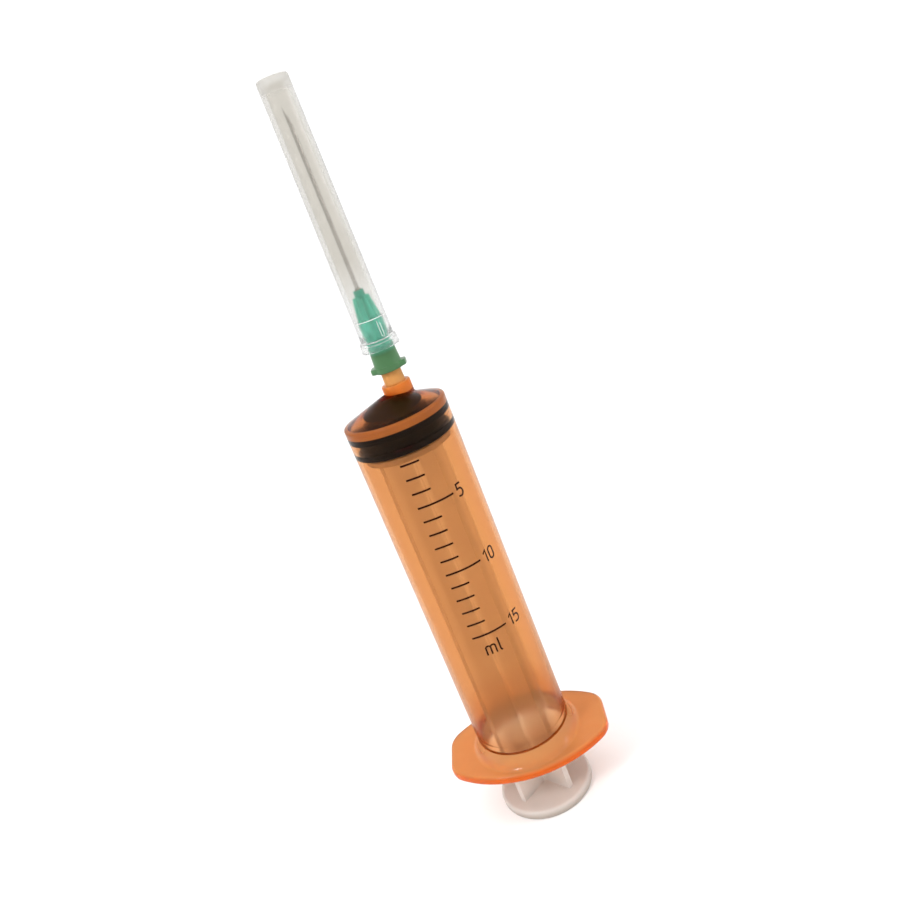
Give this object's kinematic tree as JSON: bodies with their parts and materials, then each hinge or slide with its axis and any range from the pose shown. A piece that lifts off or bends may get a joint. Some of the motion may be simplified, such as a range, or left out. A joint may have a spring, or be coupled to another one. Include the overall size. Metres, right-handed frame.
{
  "type": "luer-slip syringe with capped needle",
  "caption": "Hand syringe with a translucent orange graduated barrel, black stopper, white plunger, eccentric luer tip and a capped green-hub needle.",
  "frame": {"origin": "centre of the thumb rest's flat underside, on the barrel's axis", "axes": "+Z along the barrel towards the needle, X along the finger flange's length, -Y towards the printed side"},
  "size_m": [0.038, 0.0272, 0.1659],
  "materials": {
    "barrel_plastic": "glossy, translucent orange",
    "stopper_rubber": "satin black",
    "plunger_plastic": "milky, satin",
    "hub_plastic": "glossy, translucent green",
    "needle_steel": "drawn and polished",
    "adhesive": "clear, glossy",
    "sheath_plastic": "frosted, nearly clear",
    "scale_ink": "matt black print"
  },
  "bodies": {
    "barrel": {"barrel": "barrel_plastic"},
    "stopper": {"stopper": "stopper_rubber"},
    "plunger": {"plunger_rod": "plunger_plastic"},
    "needle": {"needle_hub": "hub_plastic", "cannula": "needle_steel", "adhesive_bead": "adhesive"},
    "sheath": {"needle_sheath": "sheath_plastic"}
  },
  "joints": [
    {"name": "plunger_slide", "type": "slide", "parent": "barrel", "child": "stopper", "axis": [0, 0, -1], "range_m": [0, 0.072]},
    {"name": "plunger_spin", "type": "hinge", "parent": "stopper", "child": "plunger", "pos_m": [0, 0, 0.0955], "axis": [0, 0, 1], "continuous": true},
    {"name": "needle_pull", "type": "slide", "parent": "barrel", "child": "needle", "axis": [0, 0, 1], "range_m": [0, 0.02]},
    {"name": "sheath_pull", "type": "slide", "parent": "needle", "child": "sheath", "axis": [0, 0, 1], "range_m": [0, 0.056]}
  ]
}
